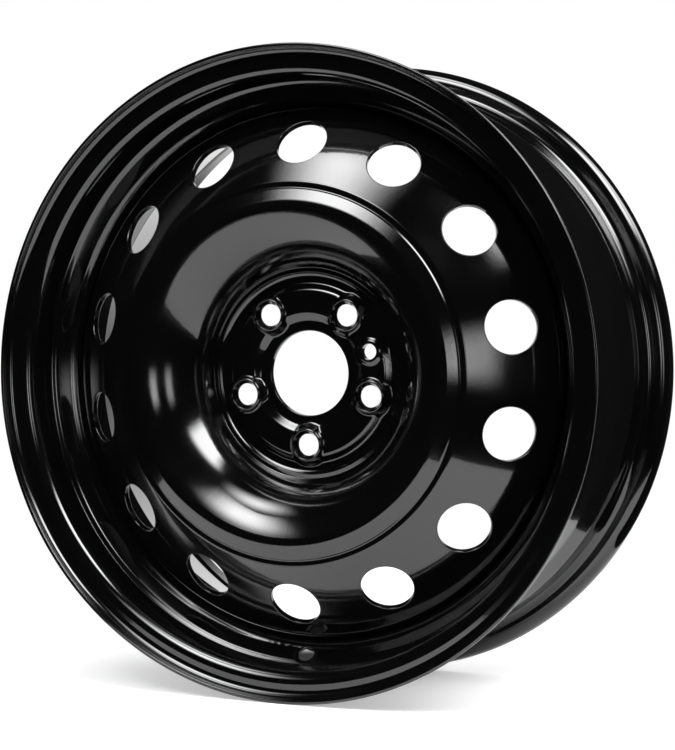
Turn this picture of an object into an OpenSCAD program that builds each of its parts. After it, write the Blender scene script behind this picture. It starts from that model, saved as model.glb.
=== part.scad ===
// Pressed steel road wheel: a rolled drop-centre rim with a stamped disc pressed into its well
// and welded to it from behind. The wheel's axis lies along Y, and the street side faces -Y.

/* [Rim] */
// Width of the rim between the two flange faces
rim_width = 152.4; // [127:0.1:190.5]
// Radius of the tyre's bead seat where it meets the flange face
seat_r = 202.8; // [195:0.1:215]
// Height of the flange above the bead seat
flange_h = 17.6; // [15:0.1:20]
// Width of the flange from its face to the end of the lip
flange_w = 10.2; // [9.5:0.1:13]
// Bend of the flange lip, on the tyre side
lip_bend = 9; // [7:0.5:9]
// Bend between flange face and bead seat, on the tyre side
heel_bend = 6.5; // [5:0.5:8]
// Slope of the bead seats
seat_slope = 5; // [4:0.5:6]
// Width of a bead seat from flange face to the foot of its hump
seat_w = 19; // [17:0.5:21]
// Height of a safety hump above the foot of its seat
hump_h = 1.4; // [0.8:0.1:2]
// Width of a hump from its foot to its sharp top
hump_w = 4.5; // [4:0.1:6]
// Bends of a hump, on the tyre side
hump_bend = 4.5; // [4:0.5:7]
// Depth of the well below the bead seat
well_depth = 17.5; // [15:0.1:20]
// Slope of the well's front wall, which holds the valve hole
wall_slope = 45.7; // [40:0.1:50]
// Bend at the foot of the well's front wall, on the tyre side
wall_bend = 16; // [10:1:20]
// Length of the well's floor between its sharp corners
well_len = 27; // [24:1:36]
// Bend where the floor of the well meets the long rear slope, on the tyre side
slope_bend = 20; // [10:1:30]
// Height of the ledge that ends the long rear slope, above the well's floor
ledge_h = 10.7; // [8:0.1:13]
// Distance of that ledge from the top of the rear hump
ledge_w = 14; // [10:0.5:18]
// Bend at the ledge, on the tyre side
ledge_bend = 15; // [8:1:20]
// Thickness of the rim's sheet
rim_t = 2.6; // [2.2:0.1:3.4]

/* [Valve hole] */
// Diameter of the valve hole
valve_d = 11.3; // [8:0.1:14]
// Diameter of the flat pressed round the valve hole
valve_flat_d = 17; // [15:0.5:18]
// Depth of that flat at its middle
valve_flat_depth = 0.4; // [0.2:0.1:0.8]

/* [Disc] */
// Thickness of the disc's sheet
disc_t = 4; // [3.4:0.1:4.5]
// Distance of the hub face from the rim's middle plane
hub_offset = 36.5; // [32:0.5:42]
// Diameter of the hub bore
bore_d = 58.1; // [54:0.1:66]
// Width of the bolt ridge's flat top inside the bolt circle
ridge_in_w = 7.5; // [6:0.1:8.5]
// Width of the bolt ridge's flat top outside the bolt circle
ridge_out_w = 8; // [6:0.1:9]
// Height of the bolt ridge above the lip and the groove
ridge_h = 3.4; // [2:0.1:4.5]
// Width of the ridge's slope to the flat lip round the bore
ridge_in_slope_w = 5.45; // [4:0.05:6]
// Width of the ridge's slope to the groove
ridge_out_slope_w = 4.7; // [4:0.1:6]
// Width of the groove
groove_w = 3.9; // [3.6:0.1:5]
// Width of the step wall, measured along the radius
step_w = 3.2; // [2.8:0.1:4]
// Height of the step wall above the groove
step_h = 3.4; // [2.6:0.1:4]
// Width of the dish floor from the step to the foot of the dish wall
floor_w = 4.6; // [4.2:0.1:7]
// Slope of the dish floor
floor_slope = 6; // [3:0.5:10]
// Straight part of the dish floor between its two bends
floor_flat = 0.1; // [0.1:0.1:1]
// Slope of the dish wall at its foot
dish_slope = 64; // [60:0.5:68]
// Slope of the dish wall's brink, where it comes up to the crest
brink_slope = 24; // [20:0.5:28]
// Share of the dish wall, between its two slopes, that is one long bend
wall_share = 0.97; // [0.8:0.01:0.98]
// Width of the crest's outer flank, from the highest ring to the flat ledge
flank_w = 10.9; // [9:0.1:13]
// Slope of the crest's outer flank
flank_slope = 22; // [18:0.5:25]
// Width of the flat ledge between the flank and the vent cone
disc_ledge_w = 3.2; // [2.8:0.1:5]
// Place of the vent cone's inner edge, as a share of the way from the step to the skirt
cone_place = 0.518; // [0.45:0.0001:0.58]
// Slope of the vent cone between the ledge and the vents
cone_slope = 33.6; // [30:0.1:36]
// Further fall of the vent cone outside the vents
cone_crown = 4.8; // [1:0.1:7]
// Length of the skirt behind its sharp corner
skirt_len = 25; // [20:0.5:32]

/* [Disc bends] */
// Bends that open towards the street side
valley_bend = 3; // [2:0.5:4]
// Bends that close over the sheet, on the street side
fold_bend = 5.4; // [5:0.1:6]
// Bend at the top of the step wall
step_bend = 5; // [4.8:0.1:5.5]
// Bend over the crest
crest_bend = 11; // [9:0.5:13]
// Bend along the crowned vent cone
crown_bend = 500; // [200:10:600]
// Bend between the vent cone and the skirt
skirt_bend = 10; // [7:0.5:14]

/* [Vents] */
// Number of vents
vent_count = 14; // [10:1:15]
// Diameter of a vent, as a share of the width of the vent cone
vent_share = 0.5246; // [0.4:0.0001:0.58]
// Place of the circle through the vents, as a share of the way across the vent cone
vent_place = 0.5337; // [0.48:0.0001:0.58]
// Distance of the vent circle behind the front edge of the rim
vent_depth = 27.8; // [24:0.1:32]
// Turn of the vent ring against the bolt circle
vent_turn = 0.9; // [-6:0.1:6]

/* [Bolt holes] */
// Number of wheel bolts
bolt_count = 5; // [3:1:5]
// Diameter of the bolt circle
bolt_pcd = 98; // [97:0.1:100]
// Diameter of a bolt hole
bolt_d = 15; // [13:0.1:15.5]
// Full angle of the conical bolt seat
seat_angle = 60; // [60:1:90]
// Diameter of the conical seat at the top of its boss
seat_d = 19.6; // [18.5:0.1:20]
// Diameter of a boss at its top
boss_top_d = 21.6; // [21:0.1:23]
// Diameter of a boss at the level of the lip and the groove
boss_foot_d = 30; // [28:0.1:32]
// Height of a boss above the ridge
boss_h = 2.5; // [1.5:0.1:3]
// Depth of the hollow behind a boss
boss_hollow = 1; // [0.5:0.1:1.2]

/* [Locating hole] */
// Diameter of the locating pin's hole
pin_d = 10.6; // [8:0.1:12]
// Diameter of the pin hole's boss at its top
pin_boss_top_d = 15; // [14.5:0.1:18]
// Diameter of the pin hole's boss at the level of the lip and the groove
pin_boss_foot_d = 25; // [23:0.1:26]
// Height of the pin hole's boss above the ridge
pin_boss_h = 1.6; // [1:0.1:2.5]

/* [Welds] */
// Number of weld seams between the disc and the rim
weld_count = 4; // [3:1:8]
// Angle that one weld seam covers
weld_arc = 36; // [20:1:40]
// Leg of the fillet weld
weld_leg = 4; // [3:0.1:4.2]

/* [Hidden] */
$fn = 96;

// Largest turn between two points of a bend
bend_step = 12;
// Largest distance of a straight piece of a bend from the true curve
bend_sag = 0.12;
// Length by which a cutting tool runs past the metal
over = 10;

// Rim section, on the tyre side
lip_r = seat_r + flange_h;
face_z = rim_width / 2;
lip_z = face_z + flange_w;
foot_z = face_z - seat_w;
foot_r = seat_r - seat_w * tan(seat_slope);
hump_z = foot_z - hump_w;
hump_r = foot_r + hump_h;
well_r = seat_r - well_depth;
wall_foot_z = hump_z - (hump_r - well_r) / tan(wall_slope);
well_end_z = wall_foot_z - well_len;
ledge_z = -hump_z + ledge_w;
well_in_r = well_r - rim_t;

// Disc section, on the street side, outwards from the bore to the step
bore_r = bore_d / 2;
bolt_r = bolt_pcd / 2;
lip_level = hub_offset + disc_t;
ridge_level = lip_level + ridge_h;
ridge_in_r = bolt_r - ridge_in_w;
ridge_out_r = bolt_r + ridge_out_w;
lip_end_r = ridge_in_r - ridge_in_slope_w;
groove_in_r = ridge_out_r + ridge_out_slope_w;
groove_out_r = groove_in_r + groove_w;
step_r = groove_out_r + step_w;
step_level = lip_level + step_h;

// Disc section from the crest to the end of the skirt, shared out over the room between step and rim
ledge_out_r = step_r + cone_place * (well_in_r - step_r);
ledge_in_r = ledge_out_r - disc_ledge_w;
crest_r = ledge_in_r - flank_w;
cone_w = well_in_r - ledge_out_r;
vent_r = ledge_out_r + vent_place * cone_w;
vent_z = lip_z - vent_depth;
vent_tilt = cone_slope + cone_crown / 2;
vent_d = vent_share * cone_w / cos(vent_tilt);
ledge_level = vent_z + (vent_r - ledge_out_r) * tan(cone_slope);
skirt_corner_z = vent_z - (well_in_r - vent_r) * tan(cone_slope + cone_crown);
skirt_end_z = skirt_corner_z - skirt_len;

// Dish wall: steep at its foot on the dish floor, then one long bend to the brink, which touches the crest
crest_mid = [crest_r, ledge_level + flank_w * tan(flank_slope) - crest_bend / cos(flank_slope)];
brink_end = crest_mid + crest_bend * [-sin(brink_slope), cos(brink_slope)];
dish_corner = [step_r + floor_w, step_level + floor_w * tan(floor_slope)];
wall_corner = crossing(dish_corner, dish_slope, brink_end, brink_slope);
crest_corner = crossing(brink_end, brink_slope, [ledge_in_r, ledge_level], -flank_slope);
step_tangent = step_bend * tan((atan2(step_h, step_w) - floor_slope) / 2);
dish_tangent = floor_w / cos(floor_slope) - step_tangent - floor_flat;
dish_bend = dish_tangent / tan((dish_slope - floor_slope) / 2);
wall_room = min(norm(wall_corner - dish_corner) - dish_tangent, norm(brink_end - wall_corner));
dish_wall_bend = wall_share * wall_room / tan((dish_slope - brink_slope) / 2);

// Bolt circle
bolt_step = 360 / bolt_count;
boss_top_z = ridge_level + boss_h;
pin_boss_top_z = ridge_level + pin_boss_h;
seat_drop = (seat_d - bolt_d) / 2 / tan(seat_angle / 2);
ridge_back_z = ridge_level - disc_t;

// Corners of the rim's section from the front lip to the rear lip: radius, place along the axis, bend
rim_path = [
    [lip_r, lip_z, 0],
    [lip_r, face_z, lip_bend],
    [seat_r, face_z, heel_bend],
    [foot_r, foot_z, hump_bend],
    [hump_r, hump_z, hump_bend],
    [well_r, wall_foot_z, wall_bend],
    [well_r, well_end_z, slope_bend],
    [well_r + ledge_h, ledge_z, ledge_bend],
    [hump_r, -hump_z, hump_bend],
    [foot_r, -foot_z, hump_bend],
    [seat_r, -face_z, heel_bend],
    [lip_r, -face_z, lip_bend],
    [lip_r, -lip_z, 0]
];

// Corners of the disc's section from the bore to the end of the skirt: radius, place along the axis, bend
disc_path = [
    [bore_r, lip_level, 0],
    [lip_end_r, lip_level, valley_bend],
    [ridge_in_r, ridge_level, fold_bend],
    [ridge_out_r, ridge_level, fold_bend],
    [groove_in_r, lip_level, valley_bend],
    [groove_out_r, lip_level, valley_bend],
    [step_r, step_level, step_bend],
    [dish_corner.x, dish_corner.y, dish_bend],
    [wall_corner.x, wall_corner.y, dish_wall_bend],
    [crest_corner.x, crest_corner.y, crest_bend],
    [ledge_in_r, ledge_level, valley_bend],
    [ledge_out_r, ledge_level, fold_bend],
    [vent_r, vent_z, crown_bend],
    [well_in_r, skirt_corner_z, skirt_bend],
    [well_in_r, skirt_end_z, 0]
];

// Point where a line through p at slope a meets a line through q at slope b
function crossing(p, a, q, b) =
    let (x = (q.y - p.y + p.x * tan(a) - q.x * tan(b)) / (tan(a) - tan(b)))
    [x, p.y + (x - p.x) * tan(a)];

// Flat part of a corner, without its bend
function flat(corner) = [corner.x, corner.y];

// Direction of travel from one corner of a path to the next, as an angle
function heading(path, i) = atan2(path[i + 1].y - path[i].y, path[i + 1].x - path[i].x);

// Turn at a corner, from -180 to 180 degrees, counter-clockwise positive
function turn(path, i) =
    let (d = heading(path, i) - heading(path, i - 1))
    d > 180 ? d - 360 : d < -180 ? d + 360 : d;

// Points along one bend, each with the heading there
function bend(path, i) =
    let (
        a = heading(path, i - 1),
        d = turn(path, i),
        rad = path[i][2],
        back = rad * tan(abs(d) / 2),
        side = d > 0 ? 1 : -1,
        start = flat(path[i]) - back * [cos(a), sin(a)],
        mid = start + side * rad * [-sin(a), cos(a)],
        n = ceil(abs(d) / min(bend_step, 2 * acos(1 - bend_sag / rad)))
    )
    [for (k = [0 : n]) let (h = a + d * k / n) [mid - side * rad * [-sin(h), cos(h)], h]];

// All points of a path, with the heading at each
function walk(path) =
    let (last = len(path) - 1)
    concat(
        [[flat(path[0]), heading(path, 0)]],
        [for (i = [1 : last - 1]) each bend(path, i)],
        [[flat(path[last]), heading(path, last - 1)]]
    );

// Outline of a sheet of thickness t that lies to the right of a path
function sheet(path, t) =
    let (pts = walk(path), n = len(pts))
    concat(
        [for (p = pts) p[0]],
        [for (k = [n - 1 : -1 : 0]) pts[k][0] + t * [sin(pts[k][1]), -cos(pts[k][1])]]
    );

// Turns the wheel from its axis along Z, street side up, to its place
module stand() {
    rotate([90, 0, 0]) children();
}

// Places children at an angle on the wheel, clockwise from the top as seen from the street side
module at_clock(angle, r = 0) {
    rotate([0, 0, -angle]) translate([0, r, 0]) children();
}

// Valve hole and its flat, square to the front wall of the well, at the bottom of the wheel
module valve_cut() {
    wall_mid_r = (hump_r + well_r) / 2;
    wall_mid_z = (hump_z + wall_foot_z) / 2;
    at_clock(180) translate([0, wall_mid_r, wall_mid_z]) rotate([90 - wall_slope, 0, 0]) {
        cylinder(d = valve_d, h = 2 * over, center = true);
        translate([0, 0, rim_t - valve_flat_depth]) cylinder(d = valve_flat_d, h = over);
    }
}

// Raised boss round a hole in the bolt ridge, rooted inside the sheet of both the ridge and the lip
module boss(top_d, foot_d, top_z) {
    root_z = (ridge_back_z + lip_level) / 2;
    flare = (foot_d - top_d) / (top_z - lip_level);
    root_d = foot_d + flare * (lip_level - root_z);
    translate([0, 0, root_z]) cylinder(d1 = root_d, d2 = top_d, h = top_z - root_z);
}

// Bolt hole with its conical seat and the hollow behind the boss
module bolt_cut() {
    throat_z = boss_top_z - seat_drop;
    hollow_z = ridge_back_z + boss_hollow;
    cone_over_d = seat_d + 2 * over * tan(seat_angle / 2);
    translate([0, 0, hub_offset - over]) cylinder(d = bolt_d, h = boss_top_z - hub_offset + 2 * over);
    translate([0, 0, throat_z]) cylinder(d1 = bolt_d, d2 = cone_over_d, h = seat_drop + over);
    translate([0, 0, hub_offset - over]) cylinder(d = boss_top_d, h = hollow_z - hub_offset + over);
}

// One vent, square to the vent cone
module vent_cut() {
    translate([0, vent_r, vent_z]) rotate([-vent_tilt, 0, 0])
        cylinder(d = vent_d, h = 2 * over + 2 * disc_t, center = true);
}

module rim() {
    color("#161616") stand() difference() {
        rotate_extrude() polygon(sheet(rim_path, rim_t));
        valve_cut();
    }
}

module disc() {
    pin_angle = bolt_step;
    color("#101010") stand() difference() {
        union() {
            rotate_extrude() polygon(sheet(disc_path, disc_t));
            for (i = [0 : bolt_count - 1])
                at_clock((i + 0.5) * bolt_step, bolt_r) boss(boss_top_d, boss_foot_d, boss_top_z);
            at_clock(pin_angle, bolt_r) boss(pin_boss_top_d, pin_boss_foot_d, pin_boss_top_z);
        }
        for (i = [0 : bolt_count - 1])
            at_clock((i + 0.5) * bolt_step, bolt_r) bolt_cut();
        at_clock(pin_angle, bolt_r) translate([0, 0, hub_offset - over])
            cylinder(d = pin_d, h = pin_boss_top_z - hub_offset + 2 * over);
        for (i = [0 : vent_count - 1])
            at_clock(vent_turn + i * 360 / vent_count) vent_cut();
    }
}

// Fillet seams in the corner between the skirt's end and the floor of the well
module weld_seams() {
    color("#1c1c1c") stand()
        for (i = [0 : weld_count - 1])
            at_clock((i + 0.5) * 360 / weld_count) rotate([0, 0, 90 - weld_arc / 2])
                rotate_extrude(angle = weld_arc)
                    polygon([
                        [well_in_r, skirt_end_z],
                        [well_in_r - weld_leg, skirt_end_z],
                        [well_in_r, skirt_end_z - weld_leg]
                    ]);
}

rim();
disc();
weld_seams();
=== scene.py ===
import math

import bpy
import numpy as np
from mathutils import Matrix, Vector


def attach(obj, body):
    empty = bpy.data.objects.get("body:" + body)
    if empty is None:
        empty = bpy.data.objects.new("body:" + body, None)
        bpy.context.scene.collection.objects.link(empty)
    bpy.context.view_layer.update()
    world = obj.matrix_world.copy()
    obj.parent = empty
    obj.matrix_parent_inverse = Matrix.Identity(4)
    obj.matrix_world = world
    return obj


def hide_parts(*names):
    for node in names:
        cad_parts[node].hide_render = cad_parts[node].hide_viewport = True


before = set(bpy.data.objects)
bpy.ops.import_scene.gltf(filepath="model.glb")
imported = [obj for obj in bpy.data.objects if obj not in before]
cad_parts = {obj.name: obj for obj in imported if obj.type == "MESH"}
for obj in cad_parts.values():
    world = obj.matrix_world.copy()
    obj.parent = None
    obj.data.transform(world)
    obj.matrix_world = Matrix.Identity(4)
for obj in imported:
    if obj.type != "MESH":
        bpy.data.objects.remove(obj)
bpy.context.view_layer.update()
print("frame loaded,", len(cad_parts), "nodes")

# Lengths below are in millimetres; a section is (radius, place along the axis towards the street side)
mm = 0.001


# Runs of constant curvature along a line of corners, each corner with its bend
def bentLine(corners):
    spots = np.array([c[:2] for c in corners], float)
    steps = np.diff(spots, axis=0)
    headings = np.unwrap(np.arctan2(steps[:, 1], steps[:, 0]))
    runs, here = [], spots[0]
    for i, heading in enumerate(headings):
        ahead = np.array([math.cos(heading), math.sin(heading)])
        last = i + 1 == len(headings)
        turn = 0.0 if last else headings[i + 1] - heading
        bend = 0.0 if last else corners[i + 1][2]
        tangent = bend * math.tan(abs(turn) / 2)
        length = (spots[i + 1] - here) @ ahead - tangent
        if length > 1e-9:
            runs.append((length, *here, heading, 0.0))
        if bend:
            after = heading + turn
            curve = math.copysign(1 / bend, turn)
            runs.append((bend * abs(turn), *(spots[i + 1] - tangent * ahead), heading, curve))
            here = spots[i + 1] + tangent * np.array([math.cos(after), math.sin(after)])
    runs = np.array(runs)
    return {"runs": runs, "starts": np.concatenate([[0.0], np.cumsum(runs[:, 0])])}


# Radius, place along the axis and heading at lengths s along a line
def alongLine(line, s):
    s = np.asarray(s, float)
    k = np.clip(np.searchsorted(line["starts"], s, side="right") - 1, 0, len(line["runs"]) - 1)
    _, r, z, heading, curve = np.moveaxis(line["runs"][k], -1, 0)
    t = s - line["starts"][k]
    flat = np.abs(curve) < 1e-12
    safe = np.where(flat, 1.0, curve)
    after = heading + curve * t
    dr = np.where(flat, t * np.cos(heading), (np.sin(after) - np.sin(heading)) / safe)
    dz = np.where(flat, t * np.sin(heading), (np.cos(heading) - np.cos(after)) / safe)
    return r + dr, z + dz, after


# Lengths at which a line gets a row of vertices
def stations(line, low, high, flatStep=14.0, bendStep=math.radians(7.5)):
    marks = [low]
    for start, run in zip(line["starts"], line["runs"]):
        a, b = max(start, low), min(start + run[0], high)
        if b - a > 1e-6:
            count = max(math.ceil((b - a) * abs(run[4]) / bendStep), math.ceil((b - a) / flatStep), 1)
            marks.extend(a + (b - a) * np.arange(1, count + 1) / count)
    marks[-1] = high
    return np.array(marks)


# Length along a line where its side at a depth reaches a radius
def lengthAt(line, radius, low, high, depth=0.0):
    s = np.linspace(low, high, 4001)
    r, _, heading = alongLine(line, s)
    return float(np.interp(radius, r + depth * np.sin(heading), s))


# A section point or direction turned round the axis, clockwise from the top as seen from the street
def turned(angle, r, z):
    angle, r, z = np.broadcast_arrays(angle, r, z)
    return np.stack([r * np.sin(angle), -z, r * np.cos(angle)], axis=-1)


# One side of a sheet of revolution: points and outward normals
def sheetSide(line, depth):
    side = -1.0 if depth else 1.0

    def surface(angle, s):
        r, z, heading = alongLine(line, s)
        points = turned(angle, r + depth * np.sin(heading), z - depth * np.cos(heading))
        return points, turned(angle, -side * np.sin(heading), side * np.cos(heading))

    return surface


# The same for a surface given by its points alone, with normals from its slopes
def shapedSide(place, side):
    def surface(angle, s):
        across = place(angle + 1e-5, s) - place(angle - 1e-5, s)
        along = place(angle, s + 1e-3) - place(angle, s - 1e-3)
        normals = side * np.cross(across, along)
        return place(angle, s), normals / np.linalg.norm(normals, axis=-1, keepdims=True)

    return surface


# Section rows round the cut end of a sheet, from its line to its back, with both edges rounded
def endRows(line, s, depth, edge, ahead):
    r, z, heading = alongLine(line, s)
    left = np.array([-math.sin(heading), math.cos(heading)])
    front = ahead * np.array([math.cos(heading), math.sin(heading)])
    spot = np.array([float(r), float(z)])
    rows = []
    edges = ((spot - edge * left, left, front), (spot - (depth - edge) * left, front, -left))
    for middle, first, second in edges:
        for a in np.linspace(0, math.pi / 2, 6):
            normal = math.cos(a) * first + math.sin(a) * second
            rows.append((*(middle + edge * normal), *normal))
    return np.array(rows)


def newBag():
    return {"points": [], "normals": [], "quads": [], "count": 0}


# A grid of points joined by quads, closed across its columns if asked
def addGrid(bag, points, normals, wrap=False):
    rows, columns = points.shape[:2]
    index = bag["count"] + np.arange(rows * columns).reshape(rows, columns)
    if wrap:
        index = np.concatenate([index, index[:, :1]], axis=1)
    corners = [index[:-1, :-1], index[:-1, 1:], index[1:, 1:], index[1:, :-1]]
    bag["quads"].append(np.stack(corners, axis=-1).reshape(-1, 4))
    bag["points"].append(points.reshape(-1, 3))
    bag["normals"].append(normals.reshape(-1, 3))
    bag["count"] += rows * columns


def addBand(bag, surface, angles, lengths, wrap=True):
    angles, lengths = angles[None, :], lengths[:, None]
    points, normals = surface(angles + 0 * lengths, lengths + 0 * angles)
    addGrid(bag, points, normals, wrap)


def addTurned(bag, rows, angles):
    points = turned(angles[None, :], rows[:, 0:1], rows[:, 1:2])
    normals = turned(angles[None, :], rows[:, 2:3], rows[:, 3:4])
    addGrid(bag, points, normals, True)


# Turn and length on a surface under a circle round a hole's axis
def ringOn(surface, hole, radius, theta):
    def seen(angle, s):
        off = surface(angle, s)[0] - hole["middle"]
        return np.stack([off @ hole["across"], off @ hole["along"]])

    goal = radius * np.stack([np.cos(theta), np.sin(theta)])
    angle, s = hole["angle"] + goal[0] / hole["radius"], hole["s"] + goal[1]
    for _ in range(24):
        here = seen(angle, s)
        da, ds = (seen(angle + 1e-6, s) - here) / 1e-6, (seen(angle, s + 1e-4) - here) / 1e-4
        miss, det = goal - here, da[0] * ds[1] - ds[0] * da[1]
        angle = angle + 0.7 * (miss[0] * ds[1] - ds[0] * miss[1]) / det
        s = s + np.clip(0.7 * (da[0] * miss[1] - miss[0] * da[1]) / det, -2.0, 2.0)
    return angle, s


# A patch of a surface between a round hole and the grid around it; returns the ring at the hole
def addPatch(bag, surface, hole, angles, lengths, circles, blend):
    n, m = len(angles) - 1, len(lengths) - 1
    edgeAngle = np.concatenate([angles[:-1], np.full(m, angles[-1]), angles[:0:-1], np.full(m, angles[0])])
    edgeLength = np.concatenate([
        np.full(n, lengths[0]), lengths[:-1], np.full(n, lengths[-1]), lengths[:0:-1]])
    theta = np.unwrap(np.arctan2(edgeLength - hole["s"], (edgeAngle - hole["angle"]) * hole["radius"]))
    theta = (theta + theta[0] + 2 * math.pi * np.arange(len(theta)) / len(theta)) / 2
    rings = [ringOn(surface, hole, c, theta) for c in circles]
    lastTurn, lastPlace = rings[-1]
    for u in blend:
        rings.append((lastTurn * (1 - u) + edgeAngle * u, lastPlace * (1 - u) + edgeLength * u))
    turns, places = np.stack([r[0] for r in rings]), np.stack([r[1] for r in rings])
    points, normals = surface(turns, places)
    addGrid(bag, points, normals, True)
    return {"theta": theta, "points": points[0], "normals": normals[0]}


# The wall of a hole between a patch on each side of a sheet, with rounded edges
def addWall(bag, hole, front, back, edge):
    theta = front["theta"][:, None]
    out = np.cos(theta) * hole["across"] + np.sin(theta) * hole["along"]
    points, normals = [], []
    quarter = np.linspace(0, math.pi / 2, 4)
    for ring, axis, turns in ((front, hole["axis"], quarter), (back, -hole["axis"], quarter[::-1])):
        for a in turns:
            points.append(ring["points"] - edge * math.sin(a) * out - edge * (1 - math.cos(a)) * axis)
            normals.append(math.cos(a) * ring["normals"] - math.sin(a) * out)
    addGrid(bag, np.stack(points), np.stack(normals), True)


# A mesh from the grids, with meeting rows merged and the known normals kept
def makePiece(name, bag, material):
    points, normals, quads = (np.concatenate(bag[k]) for k in ("points", "normals", "quads"))
    grid = np.round(points * 1e4).astype(np.int64)
    _, first, merged = np.unique(grid, axis=0, return_index=True, return_inverse=True)
    merged = merged.reshape(-1)
    total = np.zeros((len(first), 3))
    np.add.at(total, merged, normals)
    total /= np.linalg.norm(total, axis=1, keepdims=True)
    points, quads = points[first], merged[quads]
    a, b, c, d = (points[quads[:, k]] for k in range(4))
    inward = np.einsum("ij,ij->i", np.cross(c - a, d - b), total[quads].sum(axis=1)) < 0
    quads[inward] = quads[inward][:, ::-1]
    mesh = bpy.data.meshes.new(name)
    mesh.from_pydata((points * mm).tolist(), [], quads.tolist())
    mesh.shade_smooth()
    mesh.normals_split_custom_set_from_vertices(total.tolist())
    mesh.materials.append(material)
    piece = bpy.data.objects.new(name, mesh)
    bpy.context.collection.objects.link(piece)
    print(name, len(mesh.polygons), "quads")
    return piece


# Gloss black coat: orange peel, uneven gloss and, on pressed sheet, faint draw marks away from the axis
def paint(name, look):
    material = bpy.data.materials.new(name)
    material.use_nodes = True
    nodes, links = material.node_tree.nodes, material.node_tree.links
    nodes.clear()

    def node(kind, **values):
        made = nodes.new(kind)
        for key, value in values.items():
            if hasattr(made, key):
                setattr(made, key, value)
            else:
                made.inputs[key.replace("_", " ")].default_value = value
        return made

    out = node("ShaderNodeOutputMaterial")
    shader = node(
        "ShaderNodeBsdfPrincipled", Base_Color=(*look["colour"], 1),
        Coat_Weight=look["coat"], Coat_Roughness=look["coatRough"])
    links.new(shader.outputs["BSDF"], out.inputs["Surface"])
    where = node("ShaderNodeTexCoord")

    cloud = node("ShaderNodeTexNoise", Scale=look["cloudScale"], Detail=3.0)
    links.new(where.outputs["Object"], cloud.inputs["Vector"])
    smooth, dull = look["rough"]
    gloss = node("ShaderNodeMapRange", From_Min=0.3, From_Max=0.7, To_Min=smooth, To_Max=dull)
    links.new(cloud.outputs["Fac"], gloss.inputs["Value"])
    links.new(gloss.outputs["Result"], shader.inputs["Roughness"])

    peel = node("ShaderNodeTexNoise", Scale=look["peelScale"], Detail=2.0)
    links.new(where.outputs["Object"], peel.inputs["Vector"])
    bump = node("ShaderNodeBump", Strength=look["peel"], Distance=look["peelHeight"])
    links.new(peel.outputs["Fac"], bump.inputs["Height"])

    # Draw marks: noise that changes fast round the axis and slowly along the radius
    split = node("ShaderNodeSeparateXYZ")
    links.new(where.outputs["Object"], split.inputs["Vector"])
    turn = node("ShaderNodeMath", operation="ARCTAN2")
    links.new(split.outputs["X"], turn.inputs[0])
    links.new(split.outputs["Z"], turn.inputs[1])
    ring = node("ShaderNodeCombineXYZ")
    links.new(turn.outputs["Value"], ring.inputs["X"])
    links.new(split.outputs["Y"], ring.inputs["Y"])
    marks = node("ShaderNodeTexNoise", Scale=look["drawScale"], Detail=2.0)
    links.new(ring.outputs["Vector"], marks.inputs["Vector"])
    drawn = node("ShaderNodeBump", Strength=look["draw"], Distance=look["drawHeight"])
    links.new(marks.outputs["Fac"], drawn.inputs["Height"])
    links.new(bump.outputs["Normal"], drawn.inputs["Normal"])
    links.new(drawn.outputs["Normal"], shader.inputs["Normal"])
    links.new(bump.outputs["Normal"], shader.inputs["Coat Normal"])
    return material


# Rim: rolled sheet with flanges, bead seats, humps and a well
rimSize = {
    "face": 76.2, "seat": 202.8, "flange": 17.6, "lip": 10.2, "lipBend": 9, "heelBend": 6.5,
    "foot": 57.2, "footRadius": 201.138, "hump": 52.7, "humpRadius": 202.538, "humpBend": 4.5,
    "well": 185.3, "wellFront": 35.878, "wellFrontBend": 16, "wellRear": 8.878, "wellRearBend": 20,
    "ledge": 196.0, "ledgePlace": -38.7, "ledgeBend": 15,
    "swell": 0.765, "swellPlace": 5.8, "hollowPlace": 16.3, "swellBend": 6, "shoulderBend": 12,
    "sheet": 2.6, "edge": 0.9, "columns": 336}
rimLook = {
    "colour": (0.0018, 0.0018, 0.0019), "coat": 1.0, "coatRough": 0.035, "rough": (0.08, 0.15),
    "cloudScale": 28.0, "peelScale": 420.0, "peel": 0.05, "peelHeight": 0.0002,
    "drawScale": 14.0, "draw": 0.0, "drawHeight": 0.0003}
valveSize = {
    "hole": 5.65, "flat": 8.5, "flatDepth": 0.4, "flatEdge": 0.3, "edge": 0.4, "slope": 45.7,
    "below": 11.0, "above": 12.0, "rows": 19, "half": 9,
    "rings": (6.7, 7.5, 8.0, 8.3, 8.5, 8.7, 9.0, 9.5), "blend": (0.15, 0.35, 0.6, 0.82, 1.0)}

lipRadius = rimSize["seat"] + rimSize["flange"]
lipEnd = rimSize["face"] + rimSize["lip"]
frontCorners = [
    (lipRadius, lipEnd, 0),
    (lipRadius, rimSize["face"], rimSize["lipBend"]),
    (rimSize["seat"], rimSize["face"], rimSize["heelBend"]),
    (rimSize["footRadius"], rimSize["foot"], rimSize["humpBend"]),
    (rimSize["humpRadius"], rimSize["hump"], rimSize["humpBend"])]
rearCorners = [
    (rimSize["well"], rimSize["wellRear"], rimSize["wellRearBend"]),
    (rimSize["ledge"], rimSize["ledgePlace"], rimSize["ledgeBend"])]
rearCorners += [(r, -z, bend) for r, z, bend in frontCorners[::-1]]
wellCorner = (rimSize["well"], rimSize["wellFront"])
rimLine = bentLine(frontCorners + [(*wellCorner, rimSize["wellFrontBend"])] + rearCorners)

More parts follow.
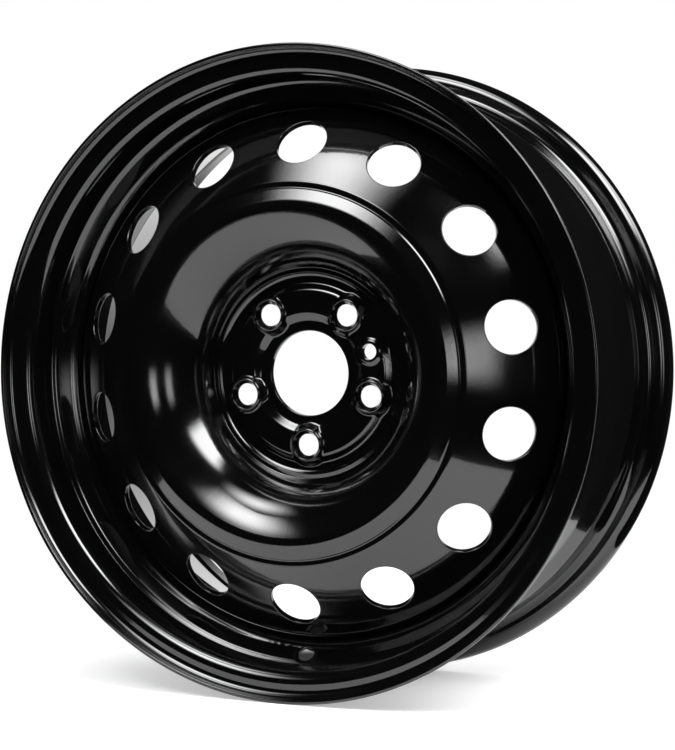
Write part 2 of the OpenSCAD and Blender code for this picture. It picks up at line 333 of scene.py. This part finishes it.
# On its weather side the well's front wall swells near the hump and hollows near the well
wallTop = np.array([rimSize["humpRadius"], rimSize["hump"]])
wallWay = np.array(wellCorner) - wallTop
wallWay /= np.linalg.norm(wallWay)
wallOut = np.array([wallWay[1], -wallWay[0]])
swell = wallTop + rimSize["swellPlace"] * wallWay + rimSize["swell"] * wallOut
hollow = wallTop + rimSize["hollowPlace"] * wallWay - rimSize["swell"] * wallOut
wallCorners = [
    (*swell, rimSize["swellBend"]), (*hollow, rimSize["swellBend"]), (*wellCorner, rimSize["shoulderBend"])]
innerLine = bentLine(frontCorners + wallCorners + rearCorners)
rimEnd, innerEnd = rimLine["starts"][-1], innerLine["starts"][-1]
rimAngles = 2 * math.pi * np.arange(rimSize["columns"]) / rimSize["columns"]
rimDepth, rimEdge = rimSize["sheet"], rimSize["edge"]
tyreSide, weatherSide = sheetSide(rimLine, 0.0), sheetSide(innerLine, rimDepth)

# The valve hole is square to the well's front wall, at the bottom
wallMiddle = ((rimSize["humpRadius"] + rimSize["well"]) / 2, (rimSize["hump"] + rimSize["wellFront"]) / 2)
marks = np.linspace(0, rimEnd, 20001)
wallR, wallZ, _ = alongLine(rimLine, marks)
valveAt = float(marks[np.argmin((wallR - wallMiddle[0]) ** 2 + (wallZ - wallMiddle[1]) ** 2)])
slope = math.radians(valveSize["slope"])
valve = {
    "angle": math.pi, "s": valveAt, "radius": wallMiddle[0], "middle": turned(math.pi, *wallMiddle),
    "across": np.array([-1.0, 0, 0]), "along": turned(math.pi, -math.sin(slope), -math.cos(slope)),
    "axis": turned(math.pi, -math.cos(slope), math.sin(slope))}


def valveFlat(angle, s):
    points = weatherSide(angle, s)[0]
    off = points - valve["middle"]
    height = off @ valve["axis"]
    away = np.linalg.norm(off - height[..., None] * valve["axis"], axis=-1)
    soft = valveSize["flatEdge"]
    share = np.clip((valveSize["flat"] + soft - away) / (2 * soft), 0, 1)
    share = share * share * (3 - 2 * share)
    sunk = np.maximum(height - (rimDepth - valveSize["flatDepth"]), 0) * share
    return points - sunk[..., None] * valve["axis"]


rim = newBag()
valveLow, valveHigh = valveAt - valveSize["below"], valveAt + valveSize["above"]
valveRows = np.linspace(valveLow, valveHigh, valveSize["rows"])
firstColumn = rimSize["columns"] // 2 - valveSize["half"]
lastColumn = rimSize["columns"] // 2 + valveSize["half"]
besides = rimAngles[np.arange(lastColumn, firstColumn + rimSize["columns"] + 1) % rimSize["columns"]]
patchAngles = rimAngles[firstColumn:lastColumn + 1]
circles = [valveSize["hole"] + valveSize["edge"], *valveSize["rings"]]
addBand(rim, tyreSide, rimAngles, stations(rimLine, rimEdge, valveLow))
addBand(rim, tyreSide, besides, valveRows, False)
addBand(rim, tyreSide, rimAngles, stations(rimLine, valveHigh, rimEnd - rimEdge))
addTurned(rim, endRows(rimLine, rimEnd - rimEdge, rimDepth, rimEdge, 1.0), rimAngles)
addBand(rim, weatherSide, rimAngles, stations(innerLine, valveHigh, innerEnd - rimEdge))
addBand(rim, weatherSide, besides, valveRows, False)
addBand(rim, weatherSide, rimAngles, stations(innerLine, rimEdge, valveLow))
addTurned(rim, endRows(rimLine, rimEdge, rimDepth, rimEdge, -1.0), rimAngles)
outer = addPatch(rim, tyreSide, valve, patchAngles, valveRows, circles, valveSize["blend"])
flatSide = shapedSide(valveFlat, -1.0)
inner = addPatch(rim, flatSide, valve, patchAngles, valveRows, circles, valveSize["blend"])
addWall(rim, valve, inner, outer, valveSize["edge"])
rimPaint = paint("rimPaint", rimLook)
rimPiece = makePiece("rimBand", rim, rimPaint)
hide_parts("rim")
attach(rimPiece, "root")
print("rim done")

# Disc: stamped sheet with bore, bolt ridge, dish, crest, vent cone and skirt
discSize = {
    "sheet": 4.0, "bore": 29.05, "lip": 40.5, "lipEnd": 36.05, "lipBend": 3,
    "ridge": 43.9, "ridgeIn": 41.5, "ridgeOut": 57.0, "ridgeBend": 5.4,
    "grooveIn": 61.7, "grooveOut": 65.6, "grooveBend": 3,
    "step": 68.8, "stepLevel": 43.9, "stepBend": 5.0, "floor": 4.6, "floorSlope": 6.0, "floorFlat": 0.1,
    "dishSlope": 64.0, "wallShare": 0.97, "brinkSlope": 24.0, "crest": 113.7, "crestBend": 11.0,
    "flankSlope": 22.0, "ledgeIn": 124.6, "ledgeInBend": 3, "ledgeOut": 127.8, "ledgeOutBend": 5.4,
    "vent": 157.1, "ventPlace": 58.6, "coneSlope": 33.6, "coneCrown": 4.8, "coneBend": 500,
    "skirt": 182.7, "skirtLength": 25.0, "skirtBend": 10,
    "padStart": 31.6, "padEnd": 64.2, "padRows": 36, "edge": 0.7, "columns": 280}
discLook = {
    "colour": (0.0018, 0.0018, 0.0019), "coat": 1.0, "coatRough": 0.035, "rough": (0.08, 0.15),
    "cloudScale": 34.0, "peelScale": 420.0, "peel": 0.05, "peelHeight": 0.0002,
    "drawScale": 16.0, "draw": 0.12, "drawHeight": 0.0003}
streetSize = {
    "stepIn": 67.6, "stepInBend": 4.9, "stepOut": 69.25, "stepOutBend": 0.5, "stepSlope": 55.0,
    "floorFall": 10.0, "footBend": 0.5,
    "drop": 0.97, "dropIn": 124.2, "dropSlope": 48.0, "dropBend": 1.5, "dropFootBend": 1.2, "coneTopBend": 3}
ventSize = {
    "count": 14, "hole": 17.8, "turn": 0.9, "edge": 0.7, "below": 31.5, "above": 26.2, "rows": 18,
    "ring": 19.6, "blend": (0.3, 0.65, 1.0)}
boltSize = {
    "count": 5, "turn": 36.0, "circle": 49.0, "hole": 7.5, "seat": 9.8, "seatBend": 0.6, "throat": 42.416,
    "top": 46.4, "topRadius": 10.8, "topSoft": 0.8, "foot": 15.0, "soft": 1.4,
    "hollow": 40.9, "hollowFall": 4.0, "hollowSoft": 0.5, "hollowBend": 0.4,
    "streetRings": (10.5, 10.9, 11.4, 12.0), "streetBlend": (0.1, 0.22, 0.36, 0.52, 0.68, 0.84, 1.0),
    "backRings": (9.8, 10.7, 10.9, 11.2, 11.6), "backBlend": (0.25, 0.5, 0.75, 1.0)}
pinSize = {
    "turn": 72.0, "hole": 5.3, "top": 45.5, "topRadius": 7.5, "foot": 12.5, "edge": 0.5,
    "streetRings": (6.6, 7.2, 7.8, 8.6, 9.8, 11.2), "streetBlend": (0.12, 0.3, 0.5, 0.75, 1.0),
    "backRings": (8.6,), "backBlend": (0.2, 0.45, 0.75, 1.0)}


def tan(degrees):
    return math.tan(math.radians(degrees))


# Where a line through p at slope a meets a line through q at slope b
def crossing(p, a, q, b):
    x = (q[1] - p[1] + p[0] * tan(a) - q[0] * tan(b)) / (tan(a) - tan(b))
    return x, p[1] + (x - p[0]) * tan(a)


coneFall = tan(discSize["coneSlope"])
skirtFall = tan(discSize["coneSlope"] + discSize["coneCrown"])
ledgeLevel = discSize["ventPlace"] + (discSize["vent"] - discSize["ledgeOut"]) * coneFall
skirtCorner = discSize["ventPlace"] - (discSize["skirt"] - discSize["vent"]) * skirtFall
flankFall = tan(discSize["flankSlope"])
crestLevel = ledgeLevel + (discSize["ledgeIn"] - discSize["crest"]) * flankFall
crestMiddle = crestLevel - discSize["crestBend"] / math.cos(math.radians(discSize["flankSlope"]))
brink = math.radians(discSize["brinkSlope"])
brinkEnd = (discSize["crest"] - discSize["crestBend"] * math.sin(brink),
            crestMiddle + discSize["crestBend"] * math.cos(brink))
dishFoot = (discSize["step"] + discSize["floor"],
            discSize["stepLevel"] + discSize["floor"] * tan(discSize["floorSlope"]))
ledgeCorner = (discSize["ledgeIn"], ledgeLevel)
wallCorner = crossing(dishFoot, discSize["dishSlope"], brinkEnd, discSize["brinkSlope"])
crestCorner = crossing(brinkEnd, discSize["brinkSlope"], ledgeCorner, -discSize["flankSlope"])
stepRise = discSize["stepLevel"] - discSize["lip"]
riseSlope = math.degrees(math.atan2(stepRise, discSize["step"] - discSize["grooveOut"]))
dishTangent = (discSize["floor"] / math.cos(math.radians(discSize["floorSlope"])) - discSize["floorFlat"]
               - discSize["stepBend"] * tan((riseSlope - discSize["floorSlope"]) / 2))
dishBend = dishTangent / tan((discSize["dishSlope"] - discSize["floorSlope"]) / 2)
wallRoom = min(math.dist(wallCorner, dishFoot) - dishTangent, math.dist(brinkEnd, wallCorner))
wallBend = discSize["wallShare"] * wallRoom / tan((discSize["dishSlope"] - discSize["brinkSlope"]) / 2)
padCorners = [
    (discSize["bore"], discSize["lip"], 0),
    (discSize["lipEnd"], discSize["lip"], discSize["lipBend"]),
    (discSize["ridgeIn"], discSize["ridge"], discSize["ridgeBend"]),
    (discSize["ridgeOut"], discSize["ridge"], discSize["ridgeBend"]),
    (discSize["grooveIn"], discSize["lip"], discSize["grooveBend"])]
discLine = bentLine(padCorners + [
    (discSize["grooveOut"], discSize["lip"], discSize["grooveBend"]),
    (discSize["step"], discSize["stepLevel"], discSize["stepBend"]),
    (*dishFoot, dishBend), (*wallCorner, wallBend), (*crestCorner, discSize["crestBend"]),
    (*ledgeCorner, discSize["ledgeInBend"]), (discSize["ledgeOut"], ledgeLevel, discSize["ledgeOutBend"]),
    (discSize["vent"], discSize["ventPlace"], discSize["coneBend"]),
    (discSize["skirt"], skirtCorner, discSize["skirtBend"]),
    (discSize["skirt"], skirtCorner - discSize["skirtLength"], 0)])
discEnd = discLine["starts"][-1]
discDepth, discEdge = discSize["sheet"], discSize["edge"]
streetSide, backSide = sheetSide(discLine, 0.0), sheetSide(discLine, discDepth)

# Bosses and hollows of the bolt ridge
boltTurns = [boltSize["turn"] + 360 * i / boltSize["count"] for i in range(boltSize["count"])]
bosses = [(math.radians(turn), boltSize) for turn in boltTurns]
bosses.append((math.radians(pinSize["turn"]), pinSize))


def smoothMax(a, b, soft):
    return np.maximum(a, b) + np.maximum(soft - np.abs(a - b), 0) ** 2 / (4 * soft)


def awayFrom(points, angle):
    middle = turned(angle, boltSize["circle"], 0.0)
    return np.hypot(points[..., 0] - middle[0], points[..., 2] - middle[2])


def padStreet(angle, s):
    points = streetSide(angle, s)[0]
    level = -points[..., 1]
    for bossAngle, boss in bosses:
        fall = (boss["top"] - discSize["lip"]) / (boss["foot"] - boss["topRadius"])
        flank = boss["top"] - fall * (awayFrom(points, bossAngle) - boss["topRadius"])
        raised = -smoothMax(-flank, -boss["top"], boltSize["topSoft"])
        level = smoothMax(level, raised, boltSize["soft"])
    return np.stack([points[..., 0], -level, points[..., 2]], axis=-1)


def padBack(angle, s):
    points = backSide(angle, s)[0]
    level = -points[..., 1]
    for bossAngle, boss in bosses[:boltSize["count"]]:
        past = np.maximum(awayFrom(points, bossAngle) - boss["topRadius"], 0)
        level = smoothMax(level, boss["hollow"] - boss["hollowFall"] * past, boss["hollowSoft"])
    return np.stack([points[..., 0], -level, points[..., 2]], axis=-1)


padSides = (shapedSide(padStreet, 1.0), shapedSide(padBack, -1.0))

# Rows: pad with the bolts, and cone with the vents
padLow = lengthAt(discLine, discSize["padStart"], low=0, high=30)
padHigh = lengthAt(discLine, discSize["padEnd"], low=30, high=60)
ventRun = int(np.argmin(np.abs(np.abs(discLine["runs"][:, 4]) - 1 / discSize["coneBend"])))
ventAt = discLine["starts"][ventRun] + discLine["runs"][ventRun, 0] / 2
ventLow, ventHigh = ventAt - ventSize["below"], ventAt + ventSize["above"]

# On the street side the dish has a low step and a tight foot, and the ledge is sunk below the flank
stepHeight = (streetSize["stepOut"] - streetSize["stepIn"]) * tan(streetSize["stepSlope"])
stepTop = (streetSize["stepOut"], discSize["lip"] + stepHeight)
wallFoot = crossing(dishFoot, discSize["dishSlope"], stepTop, -streetSize["floorFall"])
dropLevel = ledgeLevel - streetSize["drop"]
dropTop = (streetSize["dropIn"], ledgeLevel + (discSize["ledgeIn"] - streetSize["dropIn"]) * flankFall)
dropFoot = (dropTop[0] + (dropTop[1] - dropLevel) / tan(streetSize["dropSlope"]), dropLevel)
coneTop = (discSize["ledgeOut"] + streetSize["drop"] / coneFall, dropLevel)
ventStart = [float(v) for v in alongLine(discLine, ventLow)[:2]]
dishLine = bentLine(padCorners + [
    (streetSize["stepIn"], discSize["lip"], streetSize["stepInBend"]),
    (*stepTop, streetSize["stepOutBend"]), (*wallFoot, streetSize["footBend"]),
    (*wallCorner, wallBend), (*crestCorner, discSize["crestBend"]),
    (*dropTop, streetSize["dropBend"]), (*dropFoot, streetSize["dropFootBend"]),
    (*coneTop, streetSize["coneTopBend"]), (*ventStart, 0)])
step = 2 * math.pi / discSize["columns"]
perVent = discSize["columns"] // ventSize["count"]
perPad = discSize["columns"] // (2 * boltSize["count"])
ventAngles = math.radians(ventSize["turn"]) + step * (np.arange(discSize["columns"]) - perVent / 2)
padStart = math.radians(boltSize["turn"] / 2)
padShift = round((padStart - ventAngles[0]) / step)
padAngles = padStart + step * (np.arange(discSize["columns"]) - padShift)
padRows = np.linspace(padLow, padHigh, discSize["padRows"] + 1)
ventRows = np.linspace(ventLow, ventHigh, ventSize["rows"] + 1)


def dishBand(line, depth, high, pad, side):
    lengths = stations(line, padHigh, high, flatStep=9.0, bendStep=math.radians(8))
    share = np.linspace(0, 1, len(lengths))[:, None]
    angles = padAngles[None, :] * (1 - share) + ventAngles[None, :] * share
    points, normals = sheetSide(line, depth)(angles, lengths[:, None] + 0 * angles)
    points[0] = pad(padAngles, padHigh)[0]
    points[-1] = side(ventAngles, ventLow)[0]
    addGrid(disc, points, normals, True)


disc = newBag()
dishBand(dishLine, 0.0, dishLine["starts"][-1], padSides[0], streetSide)
dishBand(discLine, discDepth, ventLow, padSides[1], backSide)
for surface in (streetSide, backSide):
    addBand(disc, surface, padAngles, stations(discLine, discEdge, padLow, flatStep=3.0))
    addBand(disc, surface, ventAngles, stations(discLine, ventHigh, discEnd - discEdge))
addTurned(disc, endRows(discLine, discEdge, discDepth, discEdge, -1.0), padAngles)
addTurned(disc, endRows(discLine, discEnd - discEdge, discDepth, discEdge, 1.0), ventAngles)

# Vents, square to the cone
tilt = math.radians(discSize["coneSlope"] + discSize["coneCrown"] / 2)
ventMiddle = (discSize["vent"], discSize["ventPlace"])
circles = [ventSize["hole"] + ventSize["edge"], ventSize["ring"]]
for i in range(ventSize["count"]):
    angle = math.radians(ventSize["turn"]) + 2 * math.pi * i / ventSize["count"]
    vent = {
        "angle": angle, "s": ventAt, "radius": discSize["vent"], "middle": turned(angle, *ventMiddle),
        "across": np.array([math.cos(angle), 0, -math.sin(angle)]),
        "along": turned(angle, math.cos(tilt), -math.sin(tilt)),
        "axis": turned(angle, math.sin(tilt), math.cos(tilt))}
    here = ventAngles[0] + step * np.arange(perVent * i, perVent * (i + 1) + 1)
    front = addPatch(disc, streetSide, vent, here, ventRows, circles, ventSize["blend"])
    back = addPatch(disc, backSide, vent, here, ventRows, circles, ventSize["blend"])
    addWall(disc, vent, front, back, ventSize["edge"])

# Bolt holes with conical seats, the pin hole, and the plain parts of the ridge between them
seatLine = bentLine([
    (boltSize["seat"] + 2, boltSize["top"], 0),
    (boltSize["seat"], boltSize["top"], boltSize["seatBend"]),
    (boltSize["hole"], boltSize["throat"], boltSize["seatBend"]),
    (boltSize["hole"], boltSize["hollow"], boltSize["hollowBend"]),
    (boltSize["hole"] + 2, boltSize["hollow"], 0)])
seatStart, seatEnd = seatLine["starts"][1], seatLine["starts"][-2]
seatRows = stations(seatLine, seatStart, seatEnd, flatStep=3.0, bendStep=math.radians(18))
seatR, seatZ, seatHeading = alongLine(seatLine, seatRows)
boltAt = lengthAt(discLine, boltSize["circle"], padLow, padHigh)
for k in range(2 * boltSize["count"]):
    here = padAngles[0] + step * (padShift + np.arange(perPad * k, perPad * (k + 1) + 1))
    turn = boltSize["turn"] * (k + 1)
    angle = math.radians(turn)
    hole = {
        "angle": angle, "s": boltAt, "radius": boltSize["circle"],
        "middle": turned(angle, boltSize["circle"], 0.0),
        "across": np.array([math.cos(angle), 0, -math.sin(angle)]),
        "along": turned(angle, 1.0, 0.0), "axis": np.array([0, -1.0, 0])}
    if turn in boltTurns:
        circles = ([seatR[0], *boltSize["streetRings"]], [seatR[-1], *boltSize["backRings"]])
        front = addPatch(disc, padSides[0], hole, here, padRows, circles[0], boltSize["streetBlend"])
        back = addPatch(disc, padSides[1], hole, here, padRows, circles[1], boltSize["backBlend"])
        theta = front["theta"][:, None]
        out = np.cos(theta) * hole["across"] + np.sin(theta) * hole["along"]
        points = [hole["middle"] + r * out + z * hole["axis"] for r, z in zip(seatR, seatZ)]
        normals = [math.sin(h) * out - math.cos(h) * hole["axis"] for h in seatHeading]
        points[0], points[-1] = front["points"], back["points"]
        addGrid(disc, np.stack(points), np.stack(normals), True)
    elif turn == pinSize["turn"]:
        start = pinSize["hole"] + pinSize["edge"]
        circles = ([start, *pinSize["streetRings"]], [start, *pinSize["backRings"]])
        front = addPatch(disc, padSides[0], hole, here, padRows, circles[0], pinSize["streetBlend"])
        back = addPatch(disc, padSides[1], hole, here, padRows, circles[1], pinSize["backBlend"])
        addWall(disc, hole, front, back, pinSize["edge"])
    else:
        for surface in padSides:
            addBand(disc, surface, here, padRows, False)
discPaint = paint("discPaint", discLook)
discPiece = makePiece("discPressing", disc, discPaint)
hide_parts("disc")
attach(discPiece, "root")
print("disc done")

# Weld seams: rippled beads in the corner behind the skirt
weldSize = {
    "count": 4, "arc": 36.0, "leg": 4.0, "endLeg": 0.45, "taper": 5.0,
    "crown": 0.35, "ripple": 0.2, "rippleShape": 0.7, "pitch": 2.4, "bow": 1.6,
    "rowsPerPitch": 7, "columns": 11, "sharp": 40}
weldLook = {
    "colour": (0.004, 0.004, 0.0042), "coat": 0.6, "coatRough": 0.12, "rough": (0.28, 0.42),
    "cloudScale": 90.0, "peelScale": 900.0, "peel": 0.25, "peelHeight": 0.0002,
    "drawScale": 16.0, "draw": 0.0, "drawHeight": 0.0003}
weldCorner = (discSize["skirt"], skirtCorner - discSize["skirtLength"])
weldPoints, weldFaces = [], []
across = np.linspace(0, 1, weldSize["columns"])
stretch = math.radians(weldSize["arc"]) * weldCorner[0]
along = np.linspace(0, stretch, int(stretch / weldSize["pitch"] * weldSize["rowsPerPitch"]))
for i in range(weldSize["count"]):
    start = math.radians(360 * (i + 0.5) / weldSize["count"] - weldSize["arc"] / 2)
    base = len(weldPoints)
    for a in along:
        ends = min(a, stretch - a) / weldSize["taper"]
        full = math.sqrt(1 - (1 - min(ends, 1)) ** 2)
        size = weldSize["leg"] * (weldSize["endLeg"] + (1 - weldSize["endLeg"]) * full)
        phase = (a + weldSize["bow"] * (2 * across - 1) ** 2) / weldSize["pitch"]
        ripple = weldSize["ripple"] * np.abs(np.sin(math.pi * phase)) ** weldSize["rippleShape"]
        lift = (weldSize["crown"] - ripple) * 4 * across * (1 - across)
        r = weldCorner[0] - size * (1 - across) - lift * math.sqrt(0.5)
        z = weldCorner[1] - size * across - lift * math.sqrt(0.5)
        r, z = np.append(r, weldCorner[0]), np.append(z, weldCorner[1])
        ring = turned(start + a / weldCorner[0], r, z)
        weldPoints.extend((ring * mm).tolist())
    n = len(across) + 1
    for j in range(len(along) - 1):
        near, far = base + j * n, base + (j + 1) * n
        for k in range(n):
            weldFaces.append([near + k, near + (k + 1) % n, far + (k + 1) % n, far + k])
    weldFaces.append([base + k for k in range(n)][::-1])
    weldFaces.append([base + (len(along) - 1) * n + k for k in range(n)])
weldMesh = bpy.data.meshes.new("weldBeads")
weldMesh.from_pydata(weldPoints, [], weldFaces)
weldMesh.validate()
weldMesh.shade_smooth()
weldMesh.set_sharp_from_angle(angle=math.radians(weldSize["sharp"]))
weldMesh.materials.append(paint("weldPaint", weldLook))
weldPiece = bpy.data.objects.new("weldBeads", weldMesh)
bpy.context.collection.objects.link(weldPiece)
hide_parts("weld_seams")
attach(weldPiece, "root")
print("welds done")

# Stage: a pale table with a painted shadow behind the wheel's foot, a white background and soft panels, each
# placed by its turn from the street and height
stageSize = {
    "corners": ((-0.46, -0.26), (0.12, -0.6), (0.5, -0.04), (0.27, -0.04),
                (0.25, 0.3), (0.25, 0.7), (-0.4, 0.7), (-0.27, 0.04)),
    "colour": 0.8, "lift": 0.48, "rough": 0.9, "shine": 0.1,
    # Painted shadow on the table: its middle, its reach and its darkest colour
    "paintedShadowMiddle": (-0.045, 0.07), "paintedShadowReach": (0.05, 0.1), "paintedShadowColour": 0.03, "distance": 2.0}
camera = {"azimuth": 24.67, "elevation": 1.8, "distance": 1.465, "aside": 0.0384, "lens": 105.6}
panels = {
    "front": {"turn": -15, "height": 46, "size": (40, 34), "power": 12.0, "soft": 0.9},
    "overhead": {"turn": -22.5, "height": 65.3, "size": (44, 21), "power": 10.0, "soft": 1.0},
    "side": {"turn": 65, "height": 47.5, "size": (31, 37), "power": 12.3, "soft": 0.55},
    "rear": {"turn": 94, "height": 44, "size": (32, 46), "power": 8.0, "soft": 0.8},
    "strip": {"turn": 46, "height": 5, "size": (12, 24), "power": 3.0, "soft": 0.8},
    "nearStrip": {"turn": 27, "height": 4, "size": (12, 17), "power": 3.8, "soft": 0.8}}
backdrop = {"turn": 205, "wide": 34, "even": 22, "room": 0.015, "roomEdge": 0.15, "fill": 0.75}


def emission(name, strength, soft):
    material = bpy.data.materials.new(name)
    material.use_nodes = True
    nodes, links = material.node_tree.nodes, material.node_tree.links
    nodes.clear()
    out = nodes.new("ShaderNodeOutputMaterial")
    glow = nodes.new("ShaderNodeEmission")
    links.new(glow.outputs["Emission"], out.inputs["Surface"])
    where = nodes.new("ShaderNodeTexCoord")
    centred = nodes.new("ShaderNodeVectorMath")
    centred.operation = "SUBTRACT"
    centred.inputs[1].default_value = (0.5, 0.5, 0)
    links.new(where.outputs["UV"], centred.inputs[0])
    split = nodes.new("ShaderNodeSeparateXYZ")
    links.new(centred.outputs["Vector"], split.inputs["Vector"])
    fades = []
    for axis in ("X", "Y"):
        size = nodes.new("ShaderNodeMath")
        size.operation = "ABSOLUTE"
        links.new(split.outputs[axis], size.inputs[0])
        fade = nodes.new("ShaderNodeMapRange")
        fade.interpolation_type = "SMOOTHSTEP"
        fade.inputs["From Min"].default_value = 0.5 - 0.5 * soft
        fade.inputs["From Max"].default_value = 0.5
        fade.inputs["To Min"].default_value = 1.0
        fade.inputs["To Max"].default_value = 0.0
        links.new(size.outputs["Value"], fade.inputs["Value"])
        fades.append(fade)
    both = nodes.new("ShaderNodeMath")
    both.operation = "MULTIPLY"
    links.new(fades[0].outputs["Result"], both.inputs[0])
    links.new(fades[1].outputs["Result"], both.inputs[1])
    level = nodes.new("ShaderNodeMath")
    level.operation = "MULTIPLY"
    level.inputs[1].default_value = strength
    links.new(both.outputs["Value"], level.inputs[0])
    links.new(level.outputs["Value"], glow.inputs["Strength"])
    return material


def direction(turn, height):
    turn, height = math.radians(turn), math.radians(height)
    return Vector((math.sin(turn) * math.cos(height), -math.cos(turn) * math.cos(height), math.sin(height)))


def addPanel(name, setting):
    w, h = (stageSize["distance"] * math.tan(math.radians(x / 2)) for x in setting["size"])
    mesh = bpy.data.meshes.new(name)
    mesh.from_pydata([(-w, -h, 0), (w, -h, 0), (w, h, 0), (-w, h, 0)], [], [(0, 1, 2, 3)])
    uv = mesh.uv_layers.new()
    for loop, spot in zip(uv.data, ((0, 0), (1, 0), (1, 1), (0, 1))):
        loop.uv = spot
    mesh.materials.append(emission(name, setting["power"], setting["soft"]))
    panel = bpy.data.objects.new(name, mesh)
    panel.location = stageSize["distance"] * direction(setting["turn"], setting["height"])
    panel.rotation_mode = "QUATERNION"
    panel.rotation_quaternion = (-panel.location).to_track_quat("Z", "Y")
    panel.visible_camera = False
    bpy.context.collection.objects.link(panel)


for name, setting in panels.items():
    addPanel(name, setting)

tableMesh = bpy.data.meshes.new("table")
tablePoints = [(*corner, -lipRadius * mm) for corner in stageSize["corners"]]
tableMesh.from_pydata(tablePoints, [], [range(len(tablePoints))])
tablePaint = bpy.data.materials.new("tablePaint")
tablePaint.use_nodes = True
tableShader = tablePaint.node_tree.nodes["Principled BSDF"]
tableShader.inputs["Roughness"].default_value = stageSize["rough"]
tableShader.inputs["Specular IOR Level"].default_value = stageSize["shine"]
tableShader.inputs["Emission Color"].default_value = (1, 1, 1, 1)
tableNodes, tableLinks = tablePaint.node_tree.nodes, tablePaint.node_tree.links

# Painted shadow: the table's colour and its lift for the camera are darkened towards a spot behind the
# wheel's foot, standing in for the shade the wheel casts there
tableWhere = tableNodes.new("ShaderNodeTexCoord")
tableAway = tableNodes.new("ShaderNodeVectorMath")
tableAway.operation = "DISTANCE"
tableAway.inputs[1].default_value = (*stageSize["paintedShadowMiddle"], -lipRadius * mm)
tableLinks.new(tableWhere.outputs["Object"], tableAway.inputs[0])
tablePaintedShadow = tableNodes.new("ShaderNodeMapRange")
tablePaintedShadow.interpolation_type = "SMOOTHSTEP"
tablePaintedShadow.inputs["From Min"].default_value = stageSize["paintedShadowReach"][0]
tablePaintedShadow.inputs["From Max"].default_value = stageSize["paintedShadowReach"][1]
tablePaintedShadow.inputs["To Min"].default_value = stageSize["paintedShadowColour"]
tablePaintedShadow.inputs["To Max"].default_value = stageSize["colour"]
tableLinks.new(tableAway.outputs["Value"], tablePaintedShadow.inputs["Value"])
tableLinks.new(tablePaintedShadow.outputs["Result"], tableShader.inputs["Base Color"])
tablePath = tableNodes.new("ShaderNodeLightPath")
tableSeen = tableNodes.new("ShaderNodeMath")
tableSeen.operation = "MULTIPLY"
tableLinks.new(tablePath.outputs["Is Camera Ray"], tableSeen.inputs[0])
tableLinks.new(tablePaintedShadow.outputs["Result"], tableSeen.inputs[1])
tableLift = tableNodes.new("ShaderNodeMath")
tableLift.operation = "MULTIPLY"
tableLift.inputs[1].default_value = stageSize["lift"]
tableLinks.new(tableSeen.outputs["Value"], tableLift.inputs[0])
tableLinks.new(tableLift.outputs["Value"], tableShader.inputs["Emission Strength"])
tableMesh.materials.append(tablePaint)
table = bpy.data.objects.new("table", tableMesh)
bpy.context.collection.objects.link(table)

# World: white for the camera, white behind the wheel where the coat mirrors it, a dark room elsewhere
world = bpy.data.worlds.new("studio")
bpy.context.scene.world = world
world.use_nodes = True
nodes, links = world.node_tree.nodes, world.node_tree.links
nodes.clear()


def join(operation, a, b):
    made = nodes.new("ShaderNodeMath")
    made.operation = operation
    for socket, value in zip(made.inputs, (a, b)):
        if isinstance(value, float):
            socket.default_value = value
        else:
            links.new(value, socket)
    return made.outputs["Value"]


def ramp(value, start, end, low, high):
    made = nodes.new("ShaderNodeMapRange")
    made.interpolation_type = "SMOOTHSTEP"
    for name, number in (("From Min", start), ("From Max", end), ("To Min", low), ("To Max", high)):
        made.inputs[name].default_value = number
    links.new(value, made.inputs["Value"])
    return made.outputs["Result"]


worldOut = nodes.new("ShaderNodeOutputWorld")
sky = nodes.new("ShaderNodeBackground")
sky.inputs["Color"].default_value = (1, 1, 1, 1)
links.new(sky.outputs["Background"], worldOut.inputs["Surface"])
path = nodes.new("ShaderNodeLightPath")
where = nodes.new("ShaderNodeTexCoord")
split = nodes.new("ShaderNodeSeparateXYZ")
links.new(where.outputs["Generated"], split.inputs["Vector"])
toBack = nodes.new("ShaderNodeVectorMath")
toBack.operation = "DOT_PRODUCT"
toBack.inputs[1].default_value = direction(backdrop["turn"], 0)
links.new(where.outputs["Generated"], toBack.inputs[0])
outside, inside = (math.cos(math.radians(backdrop[key])) for key in ("wide", "even"))
white = ramp(toBack.outputs["Value"], outside, inside, 0.0, 1.0)
room = ramp(split.outputs["Y"], -backdrop["roomEdge"], backdrop["roomEdge"], 0.0, backdrop["room"])
mirrored = join("MULTIPLY", path.outputs["Is Glossy Ray"], join("MAXIMUM", white, room))
fill = join("MULTIPLY", path.outputs["Is Diffuse Ray"], backdrop["fill"])
direct = join("MAXIMUM", path.outputs["Is Camera Ray"], path.outputs["Is Transmission Ray"])
links.new(join("MAXIMUM", direct, join("MAXIMUM", mirrored, fill)), sky.inputs["Strength"])

camData = bpy.data.cameras.new("camera")
camData.sensor_width = 36
camData.lens = camera["lens"]
cam = bpy.data.objects.new("camera", camData)
back = direction(camera["azimuth"], camera["elevation"])
right = direction(camera["azimuth"] + 90, 0)
cam.location = Vector((0, -lipEnd * mm, 0)) + camera["aside"] * right + camera["distance"] * back
cam.rotation_mode = "QUATERNION"
cam.rotation_quaternion = (-back).to_track_quat("-Z", "Y")
bpy.context.collection.objects.link(cam)
bpy.context.scene.camera = cam
bpy.context.scene.view_settings.view_transform = "Standard"
print("stage done")
